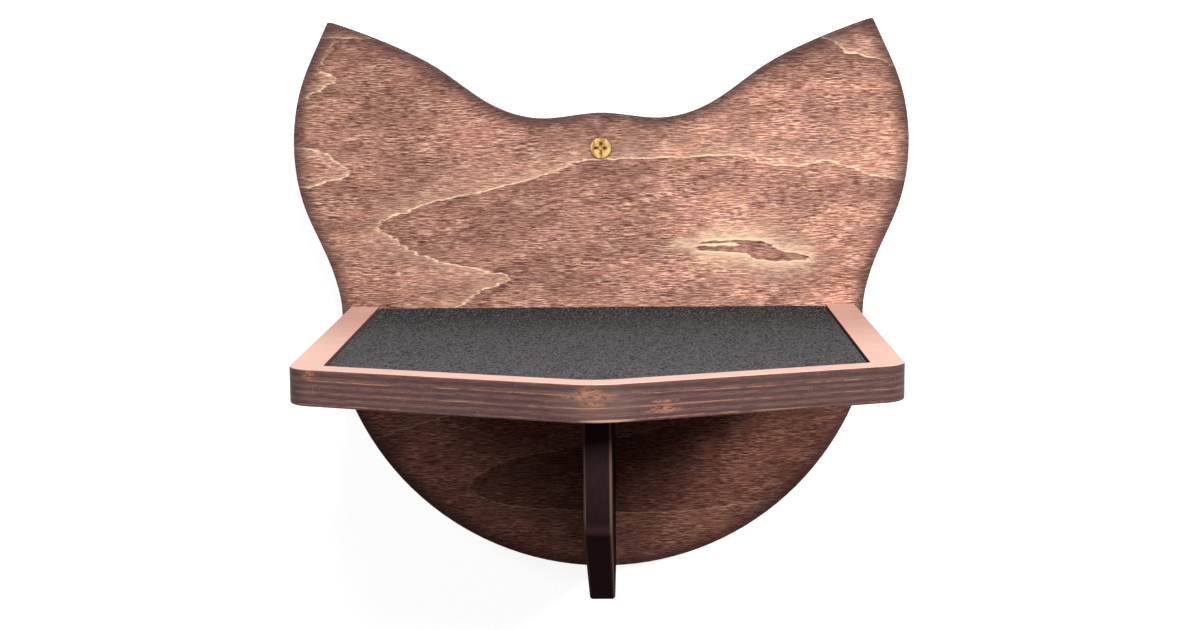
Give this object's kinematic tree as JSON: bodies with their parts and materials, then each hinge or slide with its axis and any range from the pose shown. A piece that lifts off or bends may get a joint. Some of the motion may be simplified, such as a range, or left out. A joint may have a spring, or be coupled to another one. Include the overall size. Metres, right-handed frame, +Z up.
{
  "type": "cat wall shelf",
  "caption": "Wall shelf for a cat: stained plywood back plate shaped like a cat's head over a round body, pointed shelf board with a recessed lift-out mat, and an upright rib below.",
  "frame": {"origin": "centre of the wall plug's mouth: the wall screw's axis where it meets the wall face of the back plate", "axes": "+Y into the wall along the wall plug, -Y out to the front, +Z up, +X to the right seen from the front"},
  "size_m": [0.2988, 0.292, 0.2696],
  "materials": {
    "stained_plywood": "satin",
    "dark_plywood": "satin",
    "mat_felt": "fuzzy",
    "hook_tape": "matte",
    "yellow_zinc": "bright",
    "zinc": "bright",
    "nylon": "matte"
  },
  "bodies": {
    "shelf": {"back_plate": "stained_plywood", "shelf_board": "stained_plywood", "support_rib": "dark_plywood", "hook_strip_left": "hook_tape", "hook_strip_right": "hook_tape", "wall_screw": "yellow_zinc", "wall_plug": "nylon", "shelf_screw_left": "zinc", "shelf_screw_middle": "zinc", "shelf_screw_right": "zinc", "rib_screw_upper": "zinc", "rib_screw_lower": "zinc", "top_screw_rear": "zinc", "top_screw_front": "zinc"},
    "mat": {"shelf_mat": "mat_felt"}
  },
  "joints": [
    {"name": "mat_lift", "type": "slide", "parent": "shelf", "child": "mat", "axis": [0, 0, 1], "range_m": [0, 0.05]}
  ]
}
